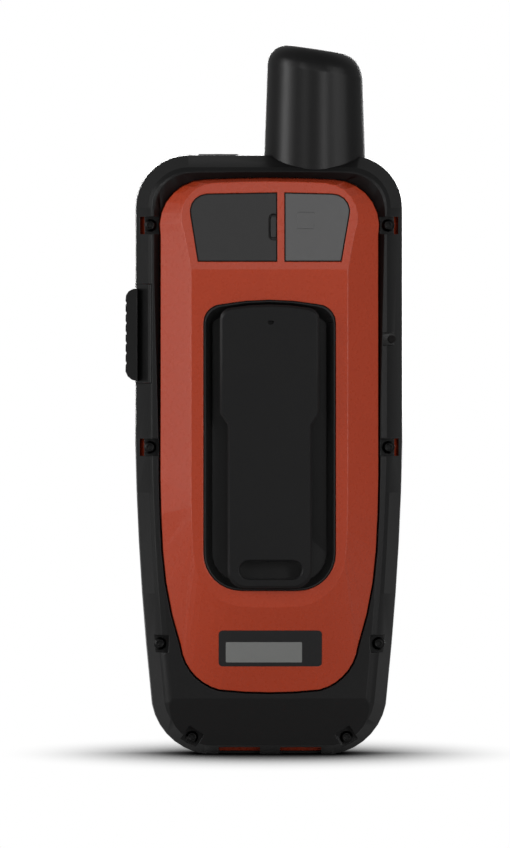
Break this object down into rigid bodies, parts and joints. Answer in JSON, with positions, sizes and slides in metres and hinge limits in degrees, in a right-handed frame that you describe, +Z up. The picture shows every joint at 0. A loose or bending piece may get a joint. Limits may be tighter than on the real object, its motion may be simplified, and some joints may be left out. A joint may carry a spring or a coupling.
{
  "type": "emergency position beacon",
  "caption": "Handheld waterproof position beacon with a stub antenna, rear mounting spine in a bay, hinged SOS cover, weather cap, display and keypad.",
  "frame": {"origin": "middle of the bottom end that the beacon stands on", "axes": "+Z up along the case towards the antenna, +Y out of the display, -Y out of the mounting spine, +X towards the antenna's side"},
  "size_m": [0.0694, 0.0422, 0.1772],
  "materials": {
    "orange_shell": "satin moulded polycarbonate",
    "black_shell": "fine-textured rubberised plastic",
    "black_trim": "satin moulded plastic",
    "soft_rubber": "soft rubber",
    "gloss_window": "polished",
    "lens_glass": "polished, anti-reflection coated",
    "screen": "transflective display",
    "key_rubber": "matte silicone keys",
    "label_black": "printed label",
    "label_silver": "satin foil",
    "sos_red": "satin",
    "steel": "dark machine screws",
    "tin": "pressed tin plate",
    "circuit": "solder mask",
    "copper": "bare copper",
    "battery_wrap": "shrink wrap",
    "grey_plastic": "moulded nylon",
    "silicone": "silicone",
    "membrane": "PTFE vent membrane",
    "cable_black": "jacket",
    "polyimide": "flex circuit"
  },
  "bodies": {
    "case": {"rear_cover": "orange_shell", "core_housing": "orange_shell", "bumper_frame": "black_shell", "front_housing": "black_shell", "antenna_housing": "black_shell", "case_gasket": "silicone", "case_screws": "steel", "antenna_former": "grey_plastic", "antenna_windings": "copper", "antenna_board": "circuit", "antenna_lead": "cable_black", "antenna_plug": "tin", "spine_tray": "black_trim", "spine_gasket": "silicone", "mounting_spine": "black_trim", "spine_screws": "steel", "usb_socket": "tin", "usb_board": "circuit", "sensor_window": "gloss_window", "light_sensor": "gloss_window", "label_plate": "label_black", "label_inlay": "label_silver", "display_lens": "lens_glass", "lens_gasket": "silicone", "display_panel": "screen", "display_module": "tin", "display_chassis": "tin", "display_flex": "polyimide", "keypad_mat": "silicone", "switch_domes": "steel", "keypad_board": "circuit", "main_board": "circuit", "shield_cans": "tin", "battery_cradle": "grey_plastic", "battery_pack": "battery_wrap", "battery_plug": "grey_plastic", "buzzer": "grey_plastic", "pressure_vent": "membrane", "sos_hinge_pin": "steel", "sos_switch": "circuit", "power_switch": "grey_plastic"},
    "sos_cover": {"sos_cover": "black_shell"},
    "sos_button": {"sos_button": "sos_red"},
    "weather_cap": {"usb_weather_cap": "soft_rubber"},
    "power_button": {"power_button": "key_rubber"},
    "rocker_pivot": {"rocker_pivot": "grey_plastic"},
    "rocker_pad": {"rocker_pad": "key_rubber", "rocker_stem": "grey_plastic"},
    "key_zoom_in": {"key_zoom_in": "key_rubber"},
    "key_zoom_out": {"key_zoom_out": "key_rubber"},
    "key_find": {"key_find": "key_rubber"},
    "key_quit": {"key_quit": "key_rubber"},
    "key_menu": {"key_menu": "key_rubber"},
    "key_page": {"key_page": "key_rubber"},
    "key_mark": {"key_mark": "key_rubber"},
    "key_enter": {"key_enter": "key_rubber"}
  },
  "joints": [
    {"name": "sos_cover_hinge", "type": "hinge", "parent": "case", "child": "sos_cover", "pos_m": [-0.0322, 0.0014, 0.1051], "axis": [0, 0, -1], "range_deg": [0, 90]},
    {"name": "sos_button_press", "type": "slide", "parent": "case", "child": "sos_button", "axis": [1, 0, 0], "range_m": [0, 0.0006], "stiffness_N_per_m": 900, "springref_m": -0.0003},
    {"name": "weather_cap_hinge", "type": "hinge", "parent": "case", "child": "weather_cap", "pos_m": [-0.0198, -0.01912, 0.13143], "axis": [0, -0.1805, -0.9836], "range_deg": [0, 120]},
    {"name": "power_button_press", "type": "slide", "parent": "case", "child": "power_button", "axis": [0, 0, -1], "range_m": [0, 0.0005], "stiffness_N_per_m": 900, "springref_m": -0.0003},
    {"name": "rocker_tilt_sideways", "type": "hinge", "parent": "case", "child": "rocker_pivot", "pos_m": [0, 0.0114, 0.1195], "axis": [0, 0, 1], "range_deg": [-2.5, 2.5], "stiffness_Nm_per_rad": 0.02},
    {"name": "rocker_tilt_updown", "type": "hinge", "parent": "rocker_pivot", "child": "rocker_pad", "pos_m": [0, 0.0114, 0.1195], "axis": [1, 0, 0], "range_deg": [-2.5, 2.5], "stiffness_Nm_per_rad": 0.02},
    {"name": "key_zoom_in_press", "type": "slide", "parent": "case", "child": "key_zoom_in", "axis": [0, -1, 0], "range_m": [0, 0.0005], "stiffness_N_per_m": 900, "springref_m": -0.0003},
    {"name": "key_zoom_out_press", "type": "slide", "parent": "case", "child": "key_zoom_out", "axis": [0, -1, 0], "range_m": [0, 0.0005], "stiffness_N_per_m": 900, "springref_m": -0.0003},
    {"name": "key_find_press", "type": "slide", "parent": "case", "child": "key_find", "axis": [0, -1, 0], "range_m": [0, 0.0005], "stiffness_N_per_m": 900, "springref_m": -0.0003},
    {"name": "key_quit_press", "type": "slide", "parent": "case", "child": "key_quit", "axis": [0, -1, 0], "range_m": [0, 0.0005], "stiffness_N_per_m": 900, "springref_m": -0.0003},
    {"name": "key_menu_press", "type": "slide", "parent": "case", "child": "key_menu", "axis": [0, -1, 0], "range_m": [0, 0.0005], "stiffness_N_per_m": 900, "springref_m": -0.0003},
    {"name": "key_page_press", "type": "slide", "parent": "case", "child": "key_page", "axis": [0, -1, 0], "range_m": [0, 0.0005], "stiffness_N_per_m": 900, "springref_m": -0.0003},
    {"name": "key_mark_press", "type": "slide", "parent": "case", "child": "key_mark", "axis": [0, -1, 0], "range_m": [0, 0.0005], "stiffness_N_per_m": 900, "springref_m": -0.0003},
    {"name": "key_enter_press", "type": "slide", "parent": "case", "child": "key_enter", "axis": [0, -1, 0], "range_m": [0, 0.0005], "stiffness_N_per_m": 900, "springref_m": -0.0003}
  ]
}
